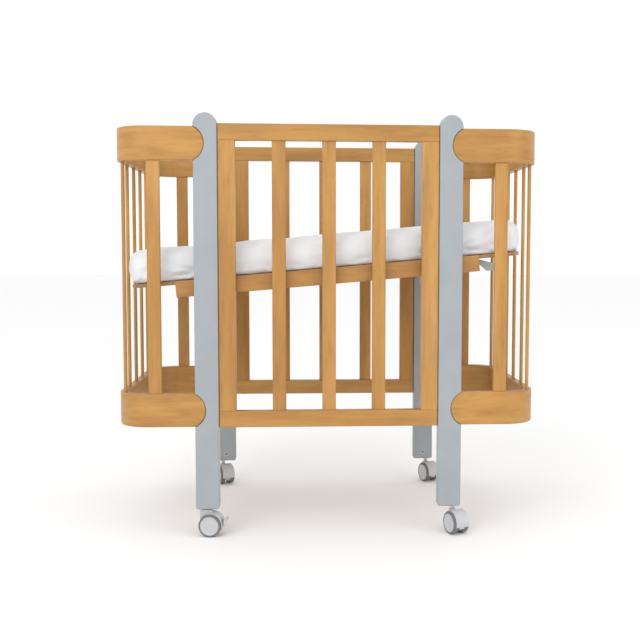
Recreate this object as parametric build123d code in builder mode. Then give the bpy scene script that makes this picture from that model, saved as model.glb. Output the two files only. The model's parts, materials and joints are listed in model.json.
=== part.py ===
from build123d import *
import os
from math import cos, pi, radians, sin

os.makedirs("parts", exist_ok=True)

# All sizes are in millimetres and degrees; X runs along the crib, Y from front to back, Z = 0 is the floor

# Whole crib: length over the bent rims, width over the posts, height to the tops of the posts
length = 902.0
width = 500.0
height = 896.5

# Posts
post_width = 50.0
post_thickness = 28.0
post_spacing = 518.0
post_bottom = 59.0
post_foot_corner = 5.0
post_edge = 3.0

# Front and back panels
panel_drop = 21.5
panel_foot_drop = 2.0
panel_thickness = 20.0
panel_recess = 4.0
panel_gap = 0.8
rail_height = 35.0
stile_width = 36.0
panel_edge = 1.6
panel_slat_width = 29.0
panel_slat_thickness = 12.0
panel_slat_pitch = 106.0
panel_slat_count = 3
slat_edge = 2.5
mortise_depth = 12.0
mortise_gap = 0.1

# Bent rims
rim_height = 71.0
rim_thickness = 18.0
rim_corner = 70.0
rim_recess = 2.0
rim_end_depth = 23.0
rim_edge = 2.5
rim_drop = 28.0
bottom_rim_bottom = 236.5
pocket_gap = 0.6

# Slats and rods of the ends
end_slat_width = 28.0
end_slat_thickness = 10.0
rod_diameter = 8.0
end_pitch = 82.0
rods_per_end = 6
rim_socket_depth = 15.0
rod_gap = 0.05

# Dowels, inserts and bolts of the frame
dowel_diameter = 8.0
dowel_length = 40.0
dowel_spacing = 17.0
dowel_gap = 0.05
bolt_diameter = 6.0
bolt_gap = 0.2
insert_diameter = 9.0
insert_length = 7.0
insert_gap = 0.02
insert_bore = 5.2
head_diameter = 10.0
head_height = 4.0
head_recess = 6.0
panel_bolt_inset = 110.0
rim_bolt_inset = 11.0
rim_bolt_spacing = 30.0
hole_heights = (76.5, 259.5, 406.5, 454.5)

# Tilting base
tilt = 5.0
pivot_height = 533.0
beam_overhang = 67.0
beam_height = 35.0
beam_thickness = 18.0
beam_gap = 3.0
board_thickness = 8.0
board_corner = 50.0
board_gap = 0.5
rabbet_width = 10.0
batten_width = 30.0
batten_inset = 35.0
tenon_width = 20.0
tenon_height = 14.0
tenon_rise = 7.0
tenon_depth = 10.0
screw_diameter = 3.5
screw_head = 7.0
screw_head_angle = 90.0
screw_length = 22.0
screw_spacing = 150.0

# Mattress
mattress_end_gap = 7.0
mattress_side_gap = 7.0
mattress_thickness = 68.0
mattress_corner = 50.0
mattress_corner_ease = 6.0
mattress_draw = 3.0
mattress_gap = 0.3
# Share of the thickness and inset of the outline, from the underside to the crown
mattress_layers = (
    (0.0, 14.0),
    (0.1, 4.0),
    (0.45, 0.0),
    (0.8, 3.0),
    (0.93, 14.0),
    (0.98, 48.0),
    (1.0, 110.0),
)

# Pivots, clamp bolts and tilt tracks
pivot_diameter = 8.0
running_gap = 0.05
fixed_gap = 0.02
clamp_diameter = 6.0
pivot_head_diameter = 14.0
pivot_head_height = 4.0
face_gap = 0.3
spacer_diameter = 20.0
track_width = 22.0
track_depth = 10.0
track_wall = 1.6
track_play = 1.2
nut_play = 3.0
nut_width = 14.0
nut_height = 14.0
nut_thickness = 4.8

# Clamp levers
hub_diameter = 17.0
hub_thickness = 9.6
lever_thickness = 8.0
lever_arm_top = 7.5
lever_arm_bottom = -3.5
lever_neck = 71.0
lever_heel = 85.0
lever_heel_drop = -18.5
lever_reach = 122.0
lever_tip_top = -11.0
lever_tip_bottom = -21.0

# Casters
stem_offset = 9.5
stem_diameter = 8.0
stem_drop = 23.0
collar_diameter = 10.5
collar_height = 4.0
socket_diameter = 11.0
socket_depth = 30.0
socket_flange = 14.0
socket_flange_height = 1.5
wheel_diameter = 48.0
wheel_width = 12.5
wheel_spread = 37.0
tyre_thickness = 4.3
tyre_edge = 1.8
tyre_gap = 0.05
hub_dish = 1.2
hub_ring = 2.4
axle_diameter = 6.0
axle_inset = 3.0
caster_trail = 15.5
hood_gap = 0.8
hood_wall = 1.8
hood_near = 14.0
hood_far = 16.5
hood_web = 11.0
hood_rear_angle = -12.0
hood_front_angle = 140.0
hood_foot = 14.0
neck_back = 7.5
neck_front = 19.5
neck_drop = 3.0
neck_round = 3.0
boss_length = 12.0
boss_rise = 26.0
caster_turns = {
    "front_left": -8.0,
    "front_right": -67.0,
    "back_left": -66.0,
    "back_right": -66.0,
}

# Brake pedal of the front left caster
pedal_width = 22.0
pedal_arm = 5.0
pedal_slot = 6.0
pedal_pin_diameter = 3.0
pedal_pin_reach = 19.6
pedal_pin_rise = 4.2
pedal_tip_reach = 36.5
pedal_tip_rise = 13.0
pedal_crest_reach = 31.5
pedal_crest_rise = 14.5
pedal_neck_reach = 28.8
pedal_neck_rise = 8.0
pedal_heel_reach = 29.8
pedal_heel_rise = -2.5
pedal_window = 24.0

# Sizes that follow from the ones above
post_x = post_spacing / 2
post_edge_x = post_x + post_width / 2
post_inner_y = width / 2 - post_thickness
panel_half = post_x - post_width / 2 - panel_gap
panel_top = height - panel_drop
panel_bottom = bottom_rim_bottom - panel_foot_drop
panel_outer_y = width / 2 - panel_recess
panel_middle_y = panel_outer_y - panel_thickness / 2
stile_bottom = panel_bottom + rail_height
stile_top = panel_top - rail_height
stile_x = panel_half - stile_width / 2
top_rim_bottom = height - rim_drop - rim_height
end_bottom = bottom_rim_bottom + rim_height - rim_socket_depth
end_top = top_rim_bottom + rim_socket_depth
rim_outer_y = width / 2 - rim_recess
rim_inner_y = rim_outer_y - rim_thickness
beam_outer_y = post_inner_y - beam_gap
beam_inner_y = beam_outer_y - beam_thickness
tilt_arm = post_spacing / cos(radians(tilt))
base_middle = tilt_arm / 2
beam_length = tilt_arm + 2 * beam_overhang
board_top = beam_height / 2
board_bottom = board_top - board_thickness
mattress_length = length - 2 * (rim_thickness + mattress_end_gap)
mattress_width = 2 * (beam_outer_y - mattress_side_gap)
board_length = mattress_length
board_width = 2 * (beam_inner_y + rabbet_width - board_gap)
tilt_rise = post_spacing * sin(radians(tilt)) / cos(radians(tilt))
track_x = post_x + (tilt_arm - post_spacing) / 2
track_middle = pivot_height + tilt_rise / 2
nut_travel = nut_height + tilt_rise + nut_play
track_height = nut_travel + 2 * track_wall
slot_width = clamp_diameter + 2 * track_play
stem_x = post_x + stem_offset
stem_y = width / 2 - post_thickness / 2
stem_top = post_bottom + socket_depth
stem_bottom = post_bottom - stem_drop
neck_top = post_bottom - neck_drop
wheel_radius = wheel_diameter / 2
boss_top = wheel_radius + boss_rise
hood_radius = wheel_radius + hood_gap + hood_wall


def save(piece, name):
    """Names one piece and writes it to its own file."""
    piece.label = name
    export_step(piece, "parts/" + name + ".step")


def upright(y):
    """Vertical plane along the crib: local x is X, local y is Z, extrusions run towards -Y."""
    return Plane(origin=(0, y, 0), x_dir=(1, 0, 0), z_dir=(0, -1, 0))


def crosswise(x):
    """Vertical plane across the crib: local x is Y, local y is Z, extrusions run towards +X."""
    return Plane(origin=(x, 0, 0), x_dir=(0, 1, 0), z_dir=(1, 0, 0))


def base_level(z):
    """Plane parallel to the tilted base, with local x along it from the left pivots."""
    slope = radians(tilt)
    level = Plane(
        origin=(-post_x, 0, pivot_height),
        x_dir=(cos(slope), 0, sin(slope)),
        z_dir=(-sin(slope), 0, cos(slope)),
    )
    return level.offset(z)


def base_upright(y):
    """Vertical plane along the tilted base: extrusions run towards -Y."""
    slope = radians(tilt)
    return Plane(
        origin=(-post_x, y, pivot_height),
        x_dir=(cos(slope), 0, sin(slope)),
        z_dir=(0, -1, 0),
    )


def outward(side, inner, thickness):
    """Highest Y of a layer that starts at the inner distance from the middle, on one side."""
    return max(side * inner, side * (inner + thickness))


def bar_across(places, diameter, side, inner, span, plane=upright):
    """Round bars along Y, at places in the upright plane, in the layer from inner outwards."""
    with BuildSketch(plane(outward(side, inner, span))) as rounds:
        with Locations(*places):
            Circle(diameter / 2)
    extrude(rounds.sketch, amount=span)


def cut_across(places, diameter, side, inner, span, plane=upright):
    """Round holes along Y, placed as bar_across places its bars."""
    with BuildSketch(plane(outward(side, inner, span))) as rounds:
        with Locations(*places):
            Circle(diameter / 2)
    extrude(rounds.sketch, amount=span, mode=Mode.SUBTRACT)


def rim_end_curve(side, bottom, gap=0.0):
    """Arc of a rim's round end, which reaches into the post by rim_end_depth."""
    ThreePointArc(
        (side * post_edge_x, bottom - gap),
        (side * (post_edge_x - rim_end_depth - gap), bottom + rim_height / 2),
        (side * post_edge_x, bottom + rim_height + gap),
    )


def rim_bolt_places(side):
    """Places of the bolts that hold the rims to one post, in the upright plane."""
    x = side * (post_edge_x - rim_bolt_inset)
    middles = [bottom + rim_height / 2 for bottom in (top_rim_bottom, bottom_rim_bottom)]
    return [(x, z + shift) for z in middles for shift in (-rim_bolt_spacing / 2, rim_bolt_spacing / 2)]


def panel_bolt_heights():
    return (panel_bottom + panel_bolt_inset, panel_top - panel_bolt_inset)


# Posts: full-round tops, pockets for the rims, holes for bolts, inserts and casters
def make_post(side, face):
    x = side * post_x
    crown = height - post_width / 2
    with BuildPart() as post:
        with BuildSketch(upright(outward(face, post_inner_y, post_thickness))) as outline:
            with Locations((x, (post_bottom + crown) / 2)):
                Rectangle(post_width, crown - post_bottom)
            with Locations((x, crown)):
                Circle(post_width / 2)
            fillet(outline.vertices().group_by(Axis.Y)[0], post_foot_corner)
        extrude(amount=post_thickness)
        fillet(post.faces().filter_by(Axis.Y).edges(), post_edge)
        # Pockets whose curve follows the round ends of the rims
        pocket_depth = rim_recess + rim_thickness
        beyond = side * (post_edge_x + post_width)
        with BuildSketch(upright(outward(face, rim_inner_y, pocket_depth))):
            for bottom in (top_rim_bottom, bottom_rim_bottom):
                with BuildLine():
                    rim_end_curve(side, bottom, pocket_gap)
                    Polyline(
                        (side * post_edge_x, bottom - pocket_gap),
                        (beyond, bottom - pocket_gap),
                        (beyond, bottom + rim_height + pocket_gap),
                        (side * post_edge_x, bottom + rim_height + pocket_gap),
                    )
                make_face()
        extrude(amount=pocket_depth, mode=Mode.SUBTRACT)
        cut_across(
            rim_bolt_places(side), bolt_diameter + 2 * bolt_gap, face, post_inner_y, post_thickness
        )
        # Panel bolts run along X, with their heads sunk into the outer side of the post
        bolt_places = [(face * panel_middle_y, z) for z in panel_bolt_heights()]
        inner_x = side * (post_x - post_width / 2)
        sunk_x = side * (post_edge_x - head_recess)
        with BuildSketch(crosswise(inner_x)):
            with Locations(*bolt_places):
                Circle(bolt_diameter / 2 + bolt_gap)
        extrude(amount=side * post_width, mode=Mode.SUBTRACT)
        with BuildSketch(crosswise(sunk_x)):
            with Locations(*bolt_places):
                Circle(head_diameter / 2 + bolt_gap)
        extrude(amount=side * head_recess, mode=Mode.SUBTRACT)
        # Inserts for other heights of the base
        cut_across(
            [(x, z) for z in hole_heights],
            insert_diameter + 2 * insert_gap,
            face,
            post_inner_y,
            insert_length,
        )
        # Socket of the caster
        with BuildSketch(Plane.XY.offset(post_bottom)):
            with Locations((side * stem_x, face * stem_y)):
                Circle(socket_diameter / 2 + insert_gap)
        extrude(amount=stem_top - post_bottom, mode=Mode.SUBTRACT)
        if side < 0:
            cut_across(
                [(x, pivot_height)],
                insert_diameter + 2 * insert_gap,
                face,
                post_inner_y,
                insert_length,
            )
        else:
            with BuildSketch(upright(outward(face, post_inner_y, track_depth))):
                with Locations((track_x, track_middle)):
                    Rectangle(track_width, track_height)
            extrude(amount=track_depth, mode=Mode.SUBTRACT)
    return post.part


# Tilt tracks: channels let into the right posts, whose slots guide the clamp bolts
def make_tracks():
    with BuildPart() as tracks:
        for face in (-1, 1):
            with BuildSketch(upright(outward(face, post_inner_y, track_depth))):
                with Locations((track_x, track_middle)):
                    Rectangle(track_width, track_height)
            extrude(amount=track_depth)
            with BuildSketch(upright(outward(face, post_inner_y + track_wall, track_depth - 2 * track_wall))):
                with Locations((track_x, track_middle)):
                    Rectangle(track_width - 2 * track_wall, nut_travel)
            extrude(amount=track_depth - 2 * track_wall, mode=Mode.SUBTRACT)
            with BuildSketch(upright(outward(face, post_inner_y, track_wall))):
                with Locations((track_x, track_middle)):
                    SlotOverall(tilt_rise + slot_width, slot_width, rotation=90)
            extrude(amount=track_wall, mode=Mode.SUBTRACT)
    return tracks.part


# Panels: rails across the stiles, slats in mortises of the rails
def panel_slat_places():
    first = -(panel_slat_count - 1) / 2 * panel_slat_pitch
    return [first + n * panel_slat_pitch for n in range(panel_slat_count)]


def panel_dowel_places():
    return [side * stile_x + shift for side in (-1, 1) for shift in (-dowel_spacing / 2, dowel_spacing / 2)]


def make_rail(face, bottom, joint):
    """One rail; joint is the height where it meets the stiles."""
    into = 1 if joint == bottom else -1
    with BuildPart() as rail:
        with BuildSketch(upright(outward(face, panel_outer_y - panel_thickness, panel_thickness))):
            with Locations((0, bottom + rail_height / 2)):
                Rectangle(2 * panel_half, rail_height)
        extrude(amount=panel_thickness)
        fillet(rail.faces().filter_by(Axis.Y).edges(), panel_edge)
        with BuildSketch(Plane.XY.offset(joint)):
            with Locations(*[(x, face * panel_middle_y) for x in panel_slat_places()]):
                RectangleRounded(
                    panel_slat_width + 2 * mortise_gap,
                    panel_slat_thickness + 2 * mortise_gap,
                    slat_edge,
                )
        extrude(amount=into * mortise_depth, mode=Mode.SUBTRACT)
        with BuildSketch(Plane.XY.offset(joint)):
            with Locations(*[(x, face * panel_middle_y) for x in panel_dowel_places()]):
                Circle(dowel_diameter / 2 + dowel_gap)
        extrude(amount=into * dowel_length / 2, mode=Mode.SUBTRACT)
    return rail.part


def make_stiles(face):
    with BuildPart() as stiles:
        with BuildSketch(Plane.XY.offset(stile_bottom)):
            with Locations(*[(side * stile_x, face * panel_middle_y) for side in (-1, 1)]):
                RectangleRounded(stile_width, panel_thickness, panel_edge)
        extrude(amount=stile_top - stile_bottom)
        for z, into in ((stile_bottom, 1), (stile_top, -1)):
            with BuildSketch(Plane.XY.offset(z)):
                with Locations(*[(x, face * panel_middle_y) for x in panel_dowel_places()]):
                    Circle(dowel_diameter / 2 + dowel_gap)
            extrude(amount=into * dowel_length / 2, mode=Mode.SUBTRACT)
        for side in (-1, 1):
            with BuildSketch(crosswise(side * panel_half)):
                with Locations(*[(face * panel_middle_y, z) for z in panel_bolt_heights()]):
                    Circle(insert_diameter / 2 + insert_gap)
            extrude(amount=-side * insert_length, mode=Mode.SUBTRACT)
    return stiles.part


def make_panel_slats(face):
    with BuildPart() as slats:
        with BuildSketch(Plane.XY.offset(stile_bottom - mortise_depth)):
            with Locations(*[(x, face * panel_middle_y) for x in panel_slat_places()]):
                RectangleRounded(panel_slat_width, panel_slat_thickness, slat_edge)
        extrude(amount=stile_top - stile_bottom + 2 * mortise_depth)
    return slats.part


def make_panel_dowels():
    with BuildPart() as dowels:
        for joint in (stile_bottom, stile_top):
            with BuildSketch(Plane.XY.offset(joint - dowel_length / 2)):
                for face in (-1, 1):
                    with Locations(*[(x, face * panel_middle_y) for x in panel_dowel_places()]):
                        Circle(dowel_diameter / 2)
            extrude(amount=dowel_length)
    return dowels.part


# Rims: one bent band with arms to the posts, and sockets for the slats and rods
def end_place(distance):
    """Point on the middle line of a right rim, at a distance along it from the middle of the end."""
    straight = rim_outer_y - rim_corner
    bend = rim_corner - rim_thickness / 2
    side = 1 if distance > 0 else -1
    angle = (abs(distance) - straight) / bend
    if angle <= 0:
        return length / 2 - rim_thickness / 2, distance
    if angle < pi / 2:
        return length / 2 - rim_corner + bend * cos(angle), side * (straight + bend * sin(angle))
    arm = (angle - pi / 2) * bend
    return length / 2 - rim_corner - arm, side * (rim_outer_y - rim_thickness / 2)


def rod_places(side):
    steps = [(n - (rods_per_end - 1) / 2) for n in range(rods_per_end)]
    points = [end_place(step * end_pitch) for step in steps]
    return [(side * x, y) for x, y in points]


def end_slat_places(side):
    reach = (rods_per_end + 1) / 2 * end_pitch
    points = [end_place(sign * reach) for sign in (-1, 1)]
    return [(side * x, y) for x, y in points]


def make_rim(side, bottom, joint):
    """One rim; joint is the height of the edge that takes the slats and rods."""
    into = 1 if joint == bottom else -1
    with BuildPart() as rim:
        with BuildSketch(Plane.XY.offset(bottom)):
            RectangleRounded(length, 2 * rim_outer_y, rim_corner)
            RectangleRounded(
                length - 2 * rim_thickness,
                2 * rim_inner_y,
                rim_corner - rim_thickness,
                mode=Mode.SUBTRACT,
            )
            with Locations((side * (post_edge_x - length / 2), 0)):
                Rectangle(length, width, mode=Mode.SUBTRACT)
        extrude(amount=rim_height)
        for face in (-1, 1):
            with BuildSketch(upright(outward(face, rim_inner_y, rim_thickness))):
                with BuildLine():
                    rim_end_curve(side, bottom)
                    Line((side * post_edge_x, bottom), (side * post_edge_x, bottom + rim_height))
                make_face()
            extrude(amount=rim_thickness)
        level_edges = rim.edges().filter_by(Axis.Z, reverse=True)
        fillet(level_edges.filter_by(lambda edge: edge.length > 2 * rim_thickness), rim_edge)
        with BuildSketch(Plane.XY.offset(joint)):
            with Locations(*rod_places(side)):
                Circle(rod_diameter / 2 + rod_gap)
            with Locations(*end_slat_places(side)):
                RectangleRounded(
                    end_slat_width + 2 * mortise_gap,
                    end_slat_thickness + 2 * mortise_gap,
                    slat_edge,
                )
        extrude(amount=into * rim_socket_depth, mode=Mode.SUBTRACT)
        for face in (-1, 1):
            places = [(x, z) for x, z in rim_bolt_places(side) if bottom < z < bottom + rim_height]
            cut_across(places, insert_diameter + 2 * insert_gap, face, rim_inner_y, insert_length)
    return rim.part


def make_rods():
    with BuildPart() as rods:
        with BuildSketch(Plane.XY.offset(end_bottom)):
            with Locations(*rod_places(-1), *rod_places(1)):
                Circle(rod_diameter / 2)
        extrude(amount=end_top - end_bottom)
    return rods.part


def make_end_slats():
    with BuildPart() as slats:
        with BuildSketch(Plane.XY.offset(end_bottom)):
            with Locations(*end_slat_places(-1), *end_slat_places(1)):
                RectangleRounded(end_slat_width, end_slat_thickness, slat_edge)
        extrude(amount=end_top - end_bottom)
    return slats.part


# Fasteners of the frame, each kind as one group
def make_frame_bolts():
    """Bolts of the rims, from the inner faces of the posts, and of the panels, from their outer edges."""
    panel_places = [(face * panel_middle_y, z) for face in (-1, 1) for z in panel_bolt_heights()]
    sunk_x = post_edge_x - head_recess
    tip_x = panel_half - insert_length
    with BuildPart() as bolts:
        for side in (-1, 1):
            for face in (-1, 1):
                places = rim_bolt_places(side)
                reach = rim_inner_y - post_inner_y + insert_length
                bar_across(places, insert_bore - 2 * insert_gap, face, post_inner_y, reach)
                bar_across(places, head_diameter, face, post_inner_y - head_height, head_height)
            with BuildSketch(crosswise(side * tip_x)):
                with Locations(*panel_places):
                    Circle(insert_bore / 2 - insert_gap)
            extrude(amount=side * (sunk_x - tip_x))
            with BuildSketch(crosswise(side * sunk_x)):
                with Locations(*panel_places):
                    Circle(head_diameter / 2)
            extrude(amount=side * head_height)
    return bolts.part


def make_inserts():
    """Threaded inserts of the rims, the stiles, the left pivots and the other heights of the base."""
    panel_places = [(face * panel_middle_y, z) for face in (-1, 1) for z in panel_bolt_heights()]
    with BuildPart() as inserts:
        for side in (-1, 1):
            heights = hole_heights if side > 0 else hole_heights + (pivot_height,)
            for face in (-1, 1):
                for places, start in (
                    (rim_bolt_places(side), rim_inner_y),
                    ([(side * post_x, z) for z in heights], post_inner_y),
                ):
                    bar_across(places, insert_diameter, face, start, insert_length)
                    cut_across(places, insert_bore, face, start, insert_length)
            with BuildSketch(crosswise(side * panel_half)):
                with Locations(*panel_places):
                    Circle(insert_diameter / 2)
                    Circle(insert_bore / 2, mode=Mode.SUBTRACT)
            extrude(amount=-side * insert_length)
    return inserts.part


# Base: rabbeted beams, cross battens, plywood board
def make_beam(face):
    with BuildPart() as beam:
        with BuildSketch(base_upright(outward(face, beam_inner_y, beam_thickness))):
            with Locations((base_middle, 0)):
                Rectangle(beam_length, beam_height)
        extrude(amount=beam_thickness)
        fillet(beam.faces().sort_by(Axis.Y)[0 if face < 0 else -1].edges(), panel_edge)
        with BuildSketch(base_upright(outward(face, beam_inner_y, rabbet_width))):
            with Locations((base_middle, (board_top + board_bottom) / 2)):
                Rectangle(beam_length, board_thickness)
        extrude(amount=rabbet_width, mode=Mode.SUBTRACT)
        for x, bore in (
            (0, pivot_diameter + 2 * running_gap),
            (tilt_arm, clamp_diameter + 2 * fixed_gap),
        ):
            cut_across([(x, 0)], bore, face, beam_inner_y, beam_thickness, base_upright)
        # Mortises for the tenons of the battens
        with BuildSketch(base_level(tenon_rise - board_top - mortise_gap)):
            with Locations(*[(x, face * beam_inner_y) for x in batten_places()]):
                Rectangle(tenon_width + 2 * mortise_gap, 2 * (tenon_depth + mortise_gap))
        extrude(amount=tenon_height + 2 * mortise_gap, mode=Mode.SUBTRACT)
    return beam.part


def batten_places():
    return [batten_inset, base_middle, tilt_arm - batten_inset]


def make_battens():
    with BuildPart() as battens:
        with BuildSketch(base_level(-board_top)):
            with Locations(*[(x, 0) for x in batten_places()]):
                Rectangle(batten_width, 2 * beam_inner_y)
        extrude(amount=beam_height - board_thickness)
        with BuildSketch(base_level(tenon_rise - board_top)):
            with Locations(*[(x, 0) for x in batten_places()]):
                Rectangle(tenon_width, 2 * (beam_inner_y + tenon_depth))
        extrude(amount=tenon_height)
        with BuildSketch(base_level(board_bottom)):
            with Locations(*screw_places()):
                Circle(screw_diameter / 2)
        extrude(amount=-(screw_length - board_thickness), mode=Mode.SUBTRACT)
    return battens.part


def screw_places():
    return [(x, n * screw_spacing) for x in batten_places() for n in (-1, 0, 1)]


def make_board():
    with BuildPart() as board:
        with BuildSketch(base_level(board_bottom)):
            with Locations((base_middle, 0)):
                RectangleRounded(board_length, board_width, board_corner)
        extrude(amount=board_thickness)
        fillet(board.faces().filter_by(base_level(0)).edges(), board_thickness / 4)
        with Locations(base_level(board_top)):
            with Locations(*[(x, y, 0) for x, y in screw_places()]):
                CounterSinkHole(
                    screw_diameter / 2, screw_head / 2, counter_sink_angle=screw_head_angle
                )
    return board.part


def make_screws():
    """Countersunk screws: a cone for the head on a plain shank."""
    cone = (screw_head - screw_diameter) / 2
    with BuildPart() as screws:
        with Locations(base_level(board_top)):
            with Locations(*[(x, y, 0) for x, y in screw_places()]):
                Cone(
                    screw_diameter / 2 - fixed_gap,
                    screw_head / 2 - fixed_gap,
                    cone,
                    align=(Align.CENTER, Align.CENTER, Align.MAX),
                )
                Cylinder(
                    screw_diameter / 2 - fixed_gap,
                    screw_length,
                    align=(Align.CENTER, Align.CENTER, Align.MAX),
                )
    return screws.part


# Mattress: sides that swell between a flat underside and a crowned top, drawn in between the corners
def make_mattress():
    with BuildPart() as mattress:
        for share, inset in mattress_layers:
            reach = mattress_length / 2 - inset
            half = mattress_width / 2 - inset
            draw = mattress_draw if inset < mattress_corner / 2 else mattress_draw / 2
            level = board_top + mattress_gap + share * mattress_thickness
            with BuildSketch(base_level(level)) as layer:
                with BuildLine():
                    corners = [(-reach, -half), (reach, -half), (reach, half), (-reach, half)]
                    middles = [(0, draw - half), (reach - draw, 0), (0, half - draw), (draw - reach, 0)]
                    for n in range(4):
                        start, end = corners[n], corners[(n + 1) % 4]
                        ThreePointArc(
                            (base_middle + start[0], start[1]),
                            (base_middle + middles[n][0], middles[n][1]),
                            (base_middle + end[0], end[1]),
                        )
                make_face()
                fillet(layer.vertices(), mattress_corner - inset / mattress_corner_ease)
        loft(ruled=True)
    return mattress.part


# Pivots, spacers and clamps of the base
def make_pivot_bolts():
    """Shoulder bolts: plain in the beams, with a thinner end in the posts' inserts."""
    place = [(-post_x, pivot_height)]
    head_y = beam_inner_y - face_gap - pivot_head_height
    with BuildPart() as bolts:
        for face in (-1, 1):
            bar_across(place, pivot_head_diameter, face, head_y, pivot_head_height)
            shoulder = post_inner_y - beam_inner_y + face_gap
            bar_across(place, pivot_diameter, face, beam_inner_y - face_gap, shoulder)
            bar_across(place, insert_bore - 2 * insert_gap, face, post_inner_y, insert_length)
    return bolts.part


def make_spacers():
    thickness = beam_gap - 2 * face_gap
    with BuildPart() as spacers:
        for face in (-1, 1):
            for x, bore in (
                (0, pivot_diameter + 2 * running_gap),
                (tilt_arm, clamp_diameter + 2 * fixed_gap),
            ):
                bar_across([(x, 0)], spacer_diameter, face, beam_outer_y, thickness, base_upright)
                cut_across([(x, 0)], bore, face, beam_outer_y, thickness, base_upright)
    return spacers.part


def make_clamp_bolts():
    """Bolts with a square nut that slides in the track of each right post."""
    place = [(tilt_arm, 0)]
    nut_y = post_inner_y + track_depth / 2 - nut_thickness / 2
    hub_y = beam_inner_y - face_gap - hub_thickness
    with BuildPart() as bolts:
        for face in (-1, 1):
            shank = nut_y + nut_thickness - hub_y + face_gap
            bar_across(place, clamp_diameter, face, hub_y - face_gap, shank, base_upright)
            head_y = hub_y - face_gap - pivot_head_height
            bar_across(place, pivot_head_diameter, face, head_y, pivot_head_height, base_upright)
            with BuildSketch(upright(outward(face, nut_y, nut_thickness))):
                with Locations((post_x, pivot_height + tilt_rise)):
                    Rectangle(nut_width, nut_height)
            extrude(amount=nut_thickness)
    return bolts.part


def make_lever(face):
    """Clamp lever: a hub on the bolt, an arm behind the beam and a dropped handle past its end."""
    hub_y = beam_inner_y - face_gap - hub_thickness
    arm_y = beam_inner_y - face_gap - (hub_thickness + lever_thickness) / 2
    with BuildPart() as lever:
        with BuildSketch(base_upright(outward(face, arm_y, lever_thickness))) as outline:
            with BuildLine():
                Polyline(
                    (tilt_arm, lever_arm_top),
                    (tilt_arm + lever_neck, lever_arm_top),
                    (tilt_arm + lever_reach, lever_tip_top),
                    (tilt_arm + lever_reach, lever_tip_bottom),
                    (tilt_arm + lever_heel, lever_heel_drop),
                    (tilt_arm + lever_neck, lever_arm_bottom),
                    (tilt_arm, lever_arm_bottom),
                    close=True,
                )
            make_face()
            fillet(outline.vertices().group_by(Axis.X)[-1], lever_thickness / 2)
        extrude(amount=lever_thickness)
        bar_across([(tilt_arm, 0)], hub_diameter, face, hub_y, hub_thickness, base_upright)
        bore = clamp_diameter + 2 * running_gap
        cut_across([(tilt_arm, 0)], bore, face, hub_y, hub_thickness, base_upright)
    return lever.part


# Casters: a stem in a socket, a hood that swivels on it, and two free wheels
def make_sockets():
    with BuildPart() as sockets:
        places = [(sx * stem_x, sy * stem_y) for sx in (-1, 1) for sy in (-1, 1)]
        with BuildSketch(Plane.XY.offset(post_bottom)):
            with Locations(*places):
                Circle(socket_diameter / 2)
        extrude(amount=stem_top - post_bottom)
        with BuildSketch(Plane.XY.offset(post_bottom)):
            with Locations(*places):
                Circle(socket_flange / 2)
        extrude(amount=-socket_flange_height)
        with BuildSketch(Plane.XY.offset(post_bottom - socket_flange_height)):
            with Locations(*places):
                Circle(stem_diameter / 2 + fixed_gap)
        extrude(amount=stem_top - post_bottom, mode=Mode.SUBTRACT)
    return sockets.part


def make_stems():
    """Stems; the casters without a brake have a collar under the post, which the brake's neck replaces."""
    with BuildPart() as stems:
        places = [(sx * stem_x, sy * stem_y) for sx in (-1, 1) for sy in (-1, 1)]
        with BuildSketch(Plane.XY.offset(stem_bottom)):
            with Locations(*places):
                Circle(stem_diameter / 2)
        extrude(amount=stem_top - socket_flange_height - stem_bottom)
        collared = [(sx * stem_x, sy * stem_y) for sx, sy in ((1, -1), (-1, 1), (1, 1))]
        with BuildSketch(Plane.XY.offset(post_bottom - socket_flange_height)):
            with Locations(*collared):
                Circle(collar_diameter / 2)
        extrude(amount=-collar_height)
    return stems.part


def caster_plane(side, face, turn, offset=0.0):
    """Vertical plane along a caster's rolling direction: local x runs from the stem to the axle."""
    roll = Vector(cos(radians(turn)), sin(radians(turn)), 0)
    normal = Vector(roll.Y, -roll.X, 0)
    stem = Vector(side * stem_x, face * stem_y, 0)
    return Plane(origin=stem + normal * offset, x_dir=roll, z_dir=normal)


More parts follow.
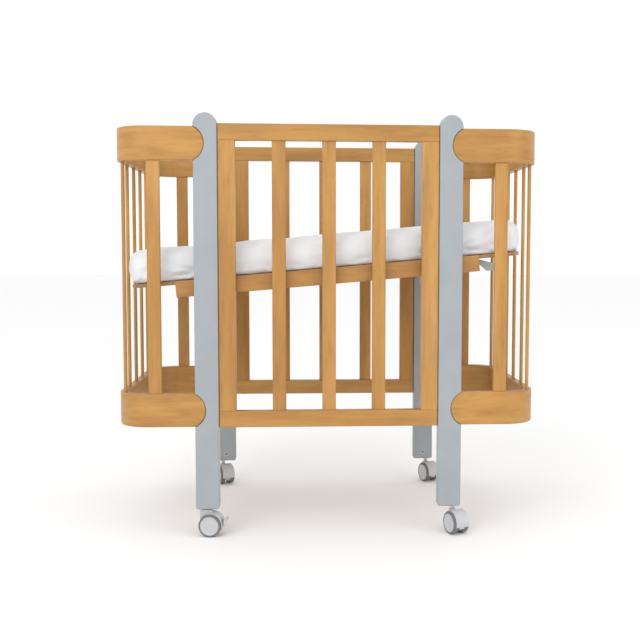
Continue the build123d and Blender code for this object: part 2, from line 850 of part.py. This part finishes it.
def make_hood(side, face, turn, braked):
    middle = caster_plane(side, face, turn)
    axle = (caster_trail, wheel_radius)
    rear, front = radians(hood_rear_angle), radians(hood_front_angle)
    inner = wheel_radius + hood_gap

    def around(radius, angle):
        return axle[0] + radius * cos(angle), axle[1] + radius * sin(angle)

    with BuildPart() as hood:
        # Fender over both wheels
        with BuildSketch(middle.offset(-hood_far)):
            with BuildLine():
                half = (rear + front) / 2
                ThreePointArc(*[around(hood_radius, a) for a in (rear, half, front)])
                ThreePointArc(*[around(inner, a) for a in (rear, half, front)])
                Line(around(inner, rear), around(hood_radius, rear))
                Line(around(inner, front), around(hood_radius, front))
            make_face()
        extrude(amount=hood_near + hood_far)
        # Web between the wheels, with the brake's neck or a low boss round the stem
        with BuildSketch(middle.offset(-hood_web / 2)):
            with Locations(axle):
                Circle(inner + hood_wall / 2)
            with Locations((caster_trail, hood_foot - hood_radius)):
                Rectangle(2 * hood_radius, 2 * hood_radius, mode=Mode.SUBTRACT)
            if braked:
                with Locations(((neck_front - neck_back) / 2, (wheel_radius + neck_top) / 2)):
                    RectangleRounded(neck_front + neck_back, neck_top - wheel_radius, neck_round)
            else:
                with Locations((0, (wheel_radius + boss_top) / 2)):
                    RectangleRounded(boss_length, boss_top - wheel_radius, neck_round)
        extrude(amount=hood_web)
        with BuildSketch(Plane.XY.offset(stem_bottom)):
            with Locations((middle.origin.X, middle.origin.Y)):
                Circle(stem_diameter / 2 + running_gap)
        extrude(amount=neck_top - stem_bottom, mode=Mode.SUBTRACT)
        with BuildSketch(middle.offset(-hood_web / 2)):
            with Locations(axle):
                Circle(axle_diameter / 2 + fixed_gap)
        extrude(amount=hood_web, mode=Mode.SUBTRACT)
        if braked:
            # Window for the pedal's arm, with a pin across it
            with BuildSketch(middle.offset(-pedal_slot / 2)):
                with Locations((caster_trail + hood_radius, wheel_radius + pedal_pin_rise / 2)):
                    Rectangle(pedal_window, pedal_window)
            extrude(amount=pedal_slot, mode=Mode.SUBTRACT)
            with BuildSketch(middle.offset(-hood_web / 2)):
                with Locations(pedal_pin_place()):
                    Circle(pedal_pin_diameter / 2)
            extrude(amount=hood_web)
    return hood.part


def make_axle(side, face, turn):
    reach = wheel_spread / 2 - axle_inset
    with BuildPart() as axle:
        with BuildSketch(caster_plane(side, face, turn).offset(-reach)):
            with Locations((caster_trail, wheel_radius)):
                Circle(axle_diameter / 2)
        extrude(amount=2 * reach)
    return axle.part


def pedal_pin_place():
    return caster_trail + pedal_pin_reach, wheel_radius + pedal_pin_rise


def wheel_plane(side, face, turn, hand):
    """Plane through one wheel's axis: local x runs outwards along it, local y is up."""
    middle = caster_plane(side, face, turn)
    centre = middle.from_local_coords((caster_trail, wheel_radius, 0))
    return Plane(origin=centre, x_dir=middle.z_dir * hand, z_dir=middle.x_dir * -hand)


def make_hub(side, face, turn, hand):
    """Dished hub, closed at its outer face."""
    flat = wheel_plane(side, face, turn, hand)
    inner = wheel_spread / 2 - wheel_width
    outer = wheel_spread / 2
    rim = wheel_radius - tyre_thickness
    bore = axle_diameter / 2 + running_gap
    with BuildPart() as hub:
        with BuildSketch(flat):
            with BuildLine():
                Polyline(
                    (inner, bore),
                    (inner, rim),
                    (outer, rim),
                    (outer, rim - hub_ring),
                    (outer - hub_dish, rim - 2 * hub_ring),
                    (outer - hub_dish / 2, hub_ring),
                    (outer - hub_dish / 2, 0),
                    (outer - axle_inset + face_gap, 0),
                    (outer - axle_inset + face_gap, bore),
                    close=True,
                )
            make_face()
        revolve(axis=Axis(flat.origin, flat.x_dir))
    return hub.part


def make_tyre(side, face, turn, hand):
    flat = wheel_plane(side, face, turn, hand)
    rim = wheel_radius - tyre_thickness
    with BuildPart() as tyre:
        with BuildSketch(flat) as tread:
            with Locations(
                (wheel_spread / 2 - wheel_width / 2, rim + (tyre_thickness + tyre_gap) / 2)
            ):
                Rectangle(wheel_width, tyre_thickness - tyre_gap)
            fillet(tread.vertices().group_by(Axis.Y)[-1], tyre_edge)
        revolve(axis=Axis(flat.origin, flat.x_dir))
    return tyre.part


def make_pedal(side, face, turn):
    """Pedal: a wedge behind the hood on a narrow arm that turns on the hood's pin."""
    middle = caster_plane(side, face, turn)
    pin_x, pin_z = pedal_pin_place()
    outline = (
        (pedal_heel_reach, pedal_heel_rise),
        (pedal_tip_reach, pedal_tip_rise),
        (pedal_crest_reach, pedal_crest_rise),
        (pedal_neck_reach, pedal_neck_rise),
    )
    arm = pedal_heel_reach + caster_trail - pin_x + pedal_arm / 4
    with BuildPart() as pedal:
        with BuildSketch(middle.offset(-pedal_width / 2)):
            with BuildLine():
                Polyline(*[(caster_trail + x, wheel_radius + z) for x, z in outline], close=True)
            make_face()
        extrude(amount=pedal_width)
        with BuildSketch(middle.offset(-pedal_arm / 2)):
            with Locations((pin_x, pin_z)):
                Circle(pedal_arm / 2)
            with Locations((pin_x + arm / 2, pin_z)):
                Rectangle(arm, pedal_arm)
        extrude(amount=pedal_arm)
        with BuildSketch(middle.offset(-pedal_arm / 2)):
            with Locations((pin_x, pin_z)):
                Circle(pedal_pin_diameter / 2 + running_gap)
        extrude(amount=pedal_arm, mode=Mode.SUBTRACT)
    return pedal.part


sides = {"left": -1, "right": 1}
faces = {"front": -1, "back": 1}
hands = {"outer": 1, "inner": -1}

for face_name, face in faces.items():
    for side_name, side in sides.items():
        save(make_post(side, face), "post_" + face_name + "_" + side_name)
    save(make_rail(face, stile_top, stile_top), face_name + "_top_rail")
    save(make_rail(face, panel_bottom, stile_bottom), face_name + "_bottom_rail")
    save(make_stiles(face), face_name + "_stiles")
    save(make_panel_slats(face), face_name + "_slats")
    save(make_beam(face), "base_beam_" + face_name)
    save(make_lever(face), "clamp_lever_" + face_name)

for side_name, side in sides.items():
    save(make_rim(side, top_rim_bottom, top_rim_bottom), "rim_top_" + side_name)
    foot = bottom_rim_bottom
    save(make_rim(side, foot, foot + rim_height), "rim_bottom_" + side_name)

save(make_rods(), "end_rods")
save(make_end_slats(), "end_slats")
save(make_panel_dowels(), "panel_dowels")
save(make_frame_bolts(), "frame_bolts")
save(make_inserts(), "threaded_inserts")
save(make_tracks(), "tilt_tracks")
save(make_pivot_bolts(), "pivot_bolts")
save(make_sockets(), "caster_sockets")
save(make_stems(), "caster_stems")
save(make_battens(), "base_battens")
save(make_board(), "base_board")
save(make_screws(), "board_screws")
save(make_spacers(), "beam_spacers")
save(make_clamp_bolts(), "clamp_bolts")
save(make_mattress(), "mattress")

for face_name, face in faces.items():
    for side_name, side in sides.items():
        corner = face_name + "_" + side_name
        turn = caster_turns[corner]
        braked = corner == "front_left"
        save(make_hood(side, face, turn, braked), "caster_hood_" + corner)
        save(make_axle(side, face, turn), "caster_axle_" + corner)
        for hand_name, hand in hands.items():
            wheel = corner + "_" + hand_name
            save(make_hub(side, face, turn, hand), "wheel_hub_" + wheel)
            save(make_tyre(side, face, turn, hand), "wheel_tyre_" + wheel)
        if braked:
            save(make_pedal(side, face, turn), "brake_pedal")
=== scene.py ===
"""Looks of the convertible crib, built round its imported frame."""

import json
import math

import bpy
from mathutils import Matrix, Vector, noise


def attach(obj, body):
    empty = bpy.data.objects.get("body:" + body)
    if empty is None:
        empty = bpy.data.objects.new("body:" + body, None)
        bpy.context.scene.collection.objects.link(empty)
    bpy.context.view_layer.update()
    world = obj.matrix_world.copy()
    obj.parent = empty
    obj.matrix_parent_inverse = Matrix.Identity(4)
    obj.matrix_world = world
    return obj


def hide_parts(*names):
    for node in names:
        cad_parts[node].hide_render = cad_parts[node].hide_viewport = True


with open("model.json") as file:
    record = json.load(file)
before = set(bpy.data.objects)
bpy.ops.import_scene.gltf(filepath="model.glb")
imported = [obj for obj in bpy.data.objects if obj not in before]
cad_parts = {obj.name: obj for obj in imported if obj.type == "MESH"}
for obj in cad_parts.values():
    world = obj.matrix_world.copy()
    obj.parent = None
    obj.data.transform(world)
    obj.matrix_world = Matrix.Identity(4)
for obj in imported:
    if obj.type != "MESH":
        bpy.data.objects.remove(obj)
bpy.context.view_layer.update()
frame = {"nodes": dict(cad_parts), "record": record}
nodes = frame["nodes"]
slots = {s["node"]: s["material_slot"] for s in frame["record"]["subparts"]}

# Photograph's camera, in pixels of the 640 frame, metres, degrees and millimetres of sensor
IMAGE = 640
SENSOR = 36
FOCAL_PX = 956.54
CENTRE_PX = (365.94, 314.86)
CAMERA_AT = (-0.04859, -2.27289, 0.61531)
YAW, PITCH, ROLL = -3.576, -3.974, 0.136

# Studio: a white surround, a pale floor and two soft lights in front, in metres and watts
SURROUND_STRENGTH = 1.05
FLOOR_HALF, FLOOR_SHADE, FLOOR_ROUGHNESS = 20, 0.92, 0.9
LIGHT_TARGET = (0, 0, 0.5)
LIGHTS = (
    ("key", (-1.6, -3.0, 2.6), (2.2, 2.2), 42),
    ("fill", (2.2, -2.6, 1.6), (2.0, 2.0), 16),
)

# Colours in linear light: woods from dark to light, then one for each other surface; the cotton's first
# colour is painted shade for its fold hollows, the second its white
BEECH = ((0.40, 0.185, 0.036), (0.475, 0.240, 0.053), (0.56, 0.305, 0.08))
PLYWOOD = ((0.29, 0.15, 0.06), (0.37, 0.20, 0.085), (0.44, 0.26, 0.12))
PAINT = (0.31, 0.336, 0.355)
CASTER_GREY = (0.50, 0.505, 0.52)
LEVER_GREY = (0.38, 0.39, 0.375)
TYRE_GREY = (0.16, 0.16, 0.165)
ZINC = (0.52, 0.52, 0.53)
COTTON_PAINTED_SHADE, COTTON_WHITE = (0.68, 0.70, 0.725), (0.77, 0.785, 0.80)

# Fineness of the wood's figure, grain, flecks and tone, and the stretch of its pattern along the fibres
FIGURE, GRAIN, FLECKS, TONE = 5.0, 38.0, 150.0, 1.7
ALONG_X, ALONG_Z, AROUND = (0.12, 1, 1), (1, 1, 0.12), (0.2, 0.2, 1.3)

# How much the wood's streaks, patches and flecks darken it, from 0 to 1
STREAKED, PATCHED, FLECKED = 0.75, 0.85, 0.30

# Fineness of the paint's and plastic's mottling and surface, and of the cotton's folds (bumped, with
# painted shade in their hollows) and weave
MOTTLE, SURFACE = 14.0, 700.0
FOLDS, WEAVE = 9.0, 1500.0
EVEN = (1, 1, 1)
WHITE = (1, 1, 1)


def make_camera():
    a, b, c = (math.radians(v) for v in (YAW, PITCH, ROLL))
    side = Vector((math.cos(a), math.sin(a), 0))
    ahead_level = Vector((-math.sin(a), math.cos(a), 0))
    ahead = math.cos(b) * ahead_level + Vector((0, 0, math.sin(b)))
    above = -math.sin(b) * ahead_level + Vector((0, 0, math.cos(b)))
    right = math.cos(c) * side + math.sin(c) * above
    up = -math.sin(c) * side + math.cos(c) * above
    data = bpy.data.cameras.new("camera")
    data.sensor_width = SENSOR
    data.lens = SENSOR * FOCAL_PX / IMAGE
    data.shift_x = (IMAGE / 2 - CENTRE_PX[0]) / IMAGE
    data.shift_y = (CENTRE_PX[1] - IMAGE / 2) / IMAGE
    camera = bpy.data.objects.new("camera", data)
    turn = Matrix((right, up, -ahead)).transposed().to_4x4()
    camera.matrix_world = Matrix.Translation(CAMERA_AT) @ turn
    bpy.context.scene.collection.objects.link(camera)
    bpy.context.scene.camera = camera


def make_light(name, place, size, power):
    data = bpy.data.lights.new(name, "AREA")
    data.shape = "RECTANGLE"
    data.size, data.size_y = size
    data.energy = power
    light = bpy.data.objects.new(name, data)
    light.location = place
    aim = Vector(LIGHT_TARGET) - Vector(place)
    light.rotation_euler = aim.to_track_quat("-Z", "Y").to_euler()
    bpy.context.scene.collection.objects.link(light)


def make_stage():
    # The plain view transform keeps the photograph's white background white
    view = bpy.context.scene.view_settings
    view.view_transform = "Standard"
    view.look = "None"
    world = bpy.data.worlds.new("studio")
    bpy.context.scene.world = world
    world.use_nodes = True
    background = world.node_tree.nodes["Background"]
    background.inputs["Color"].default_value = (1, 1, 1, 1)
    background.inputs["Strength"].default_value = SURROUND_STRENGTH
    mesh = bpy.data.meshes.new("floor")
    corners = [(x * FLOOR_HALF, y * FLOOR_HALF, 0) for x, y in ((-1, -1), (1, -1), (1, 1), (-1, 1))]
    mesh.from_pydata(corners, [], [(0, 1, 2, 3)])
    floor = bpy.data.objects.new("floor", mesh)
    bpy.context.scene.collection.objects.link(floor)
    material = bpy.data.materials.new("floor")
    material.use_nodes = True
    shader = material.node_tree.nodes["Principled BSDF"]
    shader.inputs["Base Color"].default_value = (FLOOR_SHADE, FLOOR_SHADE, FLOOR_SHADE, 1)
    shader.inputs["Roughness"].default_value = FLOOR_ROUGHNESS
    floor.data.materials.append(material)
    for name, place, size, power in LIGHTS:
        make_light(name, place, size, power)


class Shade:
    """A material whose Principled shader is fed by a small node tree."""

    def __init__(self, name, roughness, **sockets):
        self.material = bpy.data.materials.new(name)
        self.material.use_nodes = True
        self.tree = self.material.node_tree
        self.shader = self.tree.nodes["Principled BSDF"]
        self.shader.inputs["Roughness"].default_value = roughness
        for key, value in sockets.items():
            self.shader.inputs[key.replace("_", " ")].default_value = value
        self.coords = self.node("ShaderNodeTexCoord").outputs["Object"]

    def node(self, kind, **values):
        made = self.tree.nodes.new(kind)
        for key, value in values.items():
            if key in made.inputs:
                made.inputs[key].default_value = value
            else:
                setattr(made, key, value)
        return made

    def link(self, source, target):
        self.tree.links.new(source, target)

    def noise(self, scale, stretch=EVEN, detail=3.0, roughness=0.55, distortion=0.0):
        mapping = self.node("ShaderNodeMapping")
        mapping.inputs["Scale"].default_value = stretch
        self.link(self.coords, mapping.inputs["Vector"])
        made = self.node("ShaderNodeTexNoise", Scale=scale, Detail=detail)
        made.inputs["Roughness"].default_value = roughness
        made.inputs["Distortion"].default_value = distortion
        self.link(mapping.outputs["Vector"], made.inputs["Vector"])
        return made.outputs["Fac"]

    def ramp(self, source, *stops):
        made = self.node("ShaderNodeValToRGB")
        ramp = made.color_ramp
        while len(ramp.elements) < len(stops):
            ramp.elements.new(0.5)
        for element, (place, color) in zip(ramp.elements, stops):
            element.position = place
            element.color = (*color, 1)
        self.link(source, made.inputs["Fac"])
        return made.outputs["Color"]

    def multiply(self, amount, first, second):
        # Sockets 0, 6, 7 and 2 are the mix node's factor, two colours and result
        made = self.node("ShaderNodeMix", data_type="RGBA", blend_type="MULTIPLY")
        made.inputs[0].default_value = amount
        self.link(first, made.inputs[6])
        self.link(second, made.inputs[7])
        return made.outputs[2]

    def color(self, source):
        self.link(source, self.shader.inputs["Base Color"])

    def bump(self, source, strength, distance, below=None):
        made = self.node("ShaderNodeBump", Strength=strength, Distance=distance)
        self.link(source, made.inputs["Height"])
        if below is not None:
            self.link(below, made.inputs["Normal"])
        self.link(made.outputs["Normal"], self.shader.inputs["Normal"])
        return made.outputs["Normal"]


def wood(name, grain, dark, middle, light):
    """Fine-grained lacquered wood; grain is the stretch of its pattern, small along the fibres."""
    shade = Shade(name, 0.42, Coat_Weight=0.12, Coat_Roughness=0.3)
    broad = shade.noise(FIGURE, grain, 4.0, 0.6, 0.5)
    fine = shade.noise(GRAIN, grain, 5.0, 0.65, 0.15)
    tone = shade.noise(TONE, EVEN, 2.0)
    base = shade.ramp(broad, (0.3, dark), (0.5, middle), (0.72, light))
    flecks = shade.noise(FLECKS, grain, 2.0, 0.5)
    streaks = shade.ramp(fine, (0.36, (0.74, 0.68, 0.60)), (0.62, (1.04, 1.04, 1.04)))
    patches = shade.ramp(tone, (0.3, (0.88, 0.86, 0.82)), (0.7, (1.03, 1.03, 1.03)))
    rays = shade.ramp(flecks, (0.30, (0.72, 0.62, 0.52)), (0.42, WHITE))
    grained = shade.multiply(STREAKED, base, streaks)
    toned = shade.multiply(PATCHED, grained, patches)
    shade.color(shade.multiply(FLECKED, toned, rays))
    shade.bump(fine, 0.14, 0.0004)
    return shade.material


def plain(name, color, roughness, mottle=0.04, bump=0.05, **sockets):
    """Even paint, plastic, rubber or metal, faintly mottled and not quite smooth."""
    shade = Shade(name, roughness, **sockets)
    cloud = shade.noise(MOTTLE)
    low = tuple(v * (1 - mottle) for v in color)
    high = tuple(min(1, v * (1 + mottle)) for v in color)
    shade.color(shade.ramp(cloud, (0.35, low), (0.65, high)))
    shade.bump(shade.noise(SURFACE, EVEN, 2.0), bump, 0.0002)
    return shade.material


def cotton(name):
    """White cotton with a soft sheen, slight folds with painted shade darkening their hollows, and a
    fine weave.
    """
    shade = Shade(name, 0.85, Sheen_Weight=0.25, Sheen_Roughness=0.5)
    # The fold noise both bumps the cloth and paints shade into its hollows, darkening the white there
    folds_and_shade = shade.noise(FOLDS, (1, 1.6, 0.8), 4.0, 0.6, 0.6)
    shade.color(shade.ramp(folds_and_shade, (0.3, COTTON_PAINTED_SHADE), (0.6, COTTON_WHITE)))
    weave = shade.noise(WEAVE, EVEN, 1.0)
    first = shade.bump(folds_and_shade, 0.25, 0.004)
    shade.bump(weave, 0.15, 0.0003, first)
    return shade.material


def dress():
    """Gives each node its procedural material, and returns the one of the mattress cover."""
    beech_x = wood("beech along", ALONG_X, *BEECH)
    beech_z = wood("beech upright", ALONG_Z, *BEECH)
    beech_bend = wood("beech bent", AROUND, *BEECH)
    ply = wood("plywood", ALONG_X, *PLYWOOD)
    paint = plain("grey paint", PAINT, 0.38, 0.03, Coat_Weight=0.1)
    caster = plain("caster grey", CASTER_GREY, 0.35, 0.02)
    lever = plain("lever grey", LEVER_GREY, 0.5, 0.03)
    tyre = plain("tyre", TYRE_GREY, 0.7, 0.05)
    steel = plain("steel", ZINC, 0.32, 0.05, Metallic=1.0)
    cover = cotton("cotton cover")
    by_slot = {
        "painted_post": paint,
        "mattress_cover": cover,
        "plywood": ply,
        "lever_plastic": lever,
        "caster_plastic": caster,
        "caster_tyre": tyre,
        "steel": steel,
    }
    for name, obj in nodes.items():
        slot = slots[name]
        if slot == "beech":
            if name.startswith("rim"):
                material = beech_bend
            elif "rail" in name or "beam" in name:
                material = beech_x
            else:
                material = beech_z
        else:
            material = by_slot[slot]
        obj.data.materials.clear()
        obj.data.materials.append(material)
    return cover


# Base's own frame: x along it from the left pivots, z up through the mattress
HINGE = next(j for j in frame["record"]["behaviour"]["joints"] if j["name"] == "base_tilt")
TILT = math.radians(HINGE["range_deg"][1])
PIVOT = Vector(HINGE["pos_m"])
BASE = Matrix.Translation(PIVOT) @ Matrix.Rotation(-TILT, 4, "Y")
MATTRESS_MIDDLE, MATTRESS_BOTTOM = 0.260, 0.0178
REACH, END_SWELL = 0.426, 0.007

# Cover's mesh size, then the height held at its bottom, its pressure, steps and furthest move
VOXEL, QUICK_VOXEL = 0.005, 0.012
HELD_HEIGHT, PRESSURE, CLOTH_STEPS, MOVE_CAP = 0.003, 4, 20, 0.006

# Waves and ripples of the cover: height and fineness, and where they fade in above its underside
WAVE_HEIGHT, WAVE = 0.0026, (9, 9, 5)
RIPPLE_HEIGHT, RIPPLE, RIPPLE_START = 0.0010, (34, 34, 16), Vector((0, 0, 7))
FADE_FROM, FADE_OVER = 0.004, 0.02

# Tucks are pressed where the cover faces sideways, nearer its middle at the back left, and fade along
SIDE_LIMIT, BACK_SHIFT, TUCK_FADE = 0.85, 0.010, 0.6

# Tucks of the cover: two ends as distance from the middle and height, then depth and width
TUCKS = (
    ((0.292, 0.013), (0.362, 0.006), 0.0070, 0.0045),
    ((0.288, 0.020), (0.334, 0.034), 0.0050, 0.0050),
    ((0.305, 0.009), (0.400, 0.026), 0.0040, 0.0060),
    ((0.205, 0.016), (0.275, 0.010), 0.0028, 0.0050),
    ((0.345, 0.040), (0.402, 0.062), 0.0030, 0.0070),
    ((0.060, 0.012), (0.130, 0.017), 0.0024, 0.0050),
)


def apply_modifiers(obj):
    graph = bpy.context.evaluated_depsgraph_get()
    mesh = bpy.data.meshes.new_from_object(obj.evaluated_get(graph))
    obj.modifiers.clear()
    obj.data = mesh


def lengthen(obj):
    """Lets the soft ends of the cover reach nearly to the rods."""
    inverse = BASE.inverted()
    for v in obj.data.vertices:
        local = inverse @ v.co
        local.x = MATTRESS_MIDDLE + (local.x - MATTRESS_MIDDLE) * (REACH + END_SWELL) / REACH
        v.co = BASE @ local


def inflate(obj):
    """Fills the cover softly: its underside is held, its top and sides swell."""
    rest = [v.co.copy() for v in obj.data.vertices]
    inverse = BASE.inverted()
    held = obj.vertex_groups.new(name="held")
    for v in obj.data.vertices:
        height = (inverse @ v.co).z - MATTRESS_BOTTOM
        held.add([v.index], 1.0 if height < HELD_HEIGHT else 0.0, "REPLACE")
    cloth = obj.modifiers.new("cloth", "CLOTH")
    settings = cloth.settings
    settings.quality = 6
    settings.mass = 0.25
    settings.tension_stiffness = 14
    settings.compression_stiffness = 9
    settings.shear_stiffness = 6
    settings.bending_stiffness = 0.6
    settings.use_pressure = True
    settings.uniform_pressure_force = PRESSURE
    settings.shrink_min = -0.012
    settings.vertex_group_mass = "held"
    settings.effector_weights.gravity = 0
    cloth.collision_settings.use_collision = False
    cloth.collision_settings.use_self_collision = False
    cloth.point_cache.frame_start = 1
    cloth.point_cache.frame_end = CLOTH_STEPS
    scene = bpy.context.scene
    for step in range(1, CLOTH_STEPS + 1):
        scene.frame_set(step)
    apply_modifiers(obj)
    scene.frame_set(1)
    for v, start in zip(obj.data.vertices, rest):
        moved = v.co - start
        if moved.length > MOVE_CAP:
            v.co = start + moved * (MOVE_CAP / moved.length)
    obj.vertex_groups.clear()


def pleat(obj):
    """Presses the tucks into the cover and gives it slight waves."""
    inverse, turn = BASE.inverted(), BASE.to_3x3()
    mesh = obj.data
    normals = [v.normal.copy() for v in mesh.vertices]
    for v, normal in zip(mesh.vertices, normals):
        local = inverse @ v.co
        out = turn.transposed() @ normal
        x = local.x - MATTRESS_MIDDLE
        height = local.z - MATTRESS_BOTTOM
        press = 0.0
        if abs(out.z) < SIDE_LIMIT:
            along = abs(x) + (BACK_SHIFT if x < 0 and local.y > 0 else 0.0)
            for (x0, h0), (x1, h1), depth, width in TUCKS:
                dx, dh = x1 - x0, h1 - h0
                t = ((along - x0) * dx + (height - h0) * dh) / (dx * dx + dh * dh)
                near = min(1, max(0, t))
                gap = math.hypot(along - x0 - near * dx, height - h0 - near * dh)
                taper = 1 - TUCK_FADE * near
                press += depth * taper * math.exp(-((gap / width) ** 2))
        waves = noise.noise(local * Vector(WAVE))
        ripples = noise.noise(local * Vector(RIPPLE) + RIPPLE_START)
        share = min(1, max(0, (height - FADE_FROM) / FADE_OVER))
        v.co += normal * (share * (WAVE_HEIGHT * waves + RIPPLE_HEIGHT * ripples) - press)


def make_mattress(cover):
    """Cotton-covered mattress over the form of its node, remeshed, blown up softly and tucked."""
    mattress = bpy.data.objects.new("mattress_cover", nodes["mattress"].data.copy())
    bpy.context.scene.collection.objects.link(mattress)
    lengthen(mattress)
    remesh = mattress.modifiers.new("remesh", "REMESH")
    remesh.mode = "VOXEL"
    remesh.voxel_size = VOXEL
    apply_modifiers(mattress)
    inflate(mattress)
    pleat(mattress)
    smooth = mattress.modifiers.new("smooth", "SUBSURF")
    smooth.levels = smooth.render_levels = 1
    apply_modifiers(mattress)
    for polygon in mattress.data.polygons:
        polygon.use_smooth = True
    mattress.data.materials.clear()
    mattress.data.materials.append(cover)
    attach(mattress, "base")
    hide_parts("mattress")


make_camera()
make_stage()
cover = dress()
make_mattress(cover)
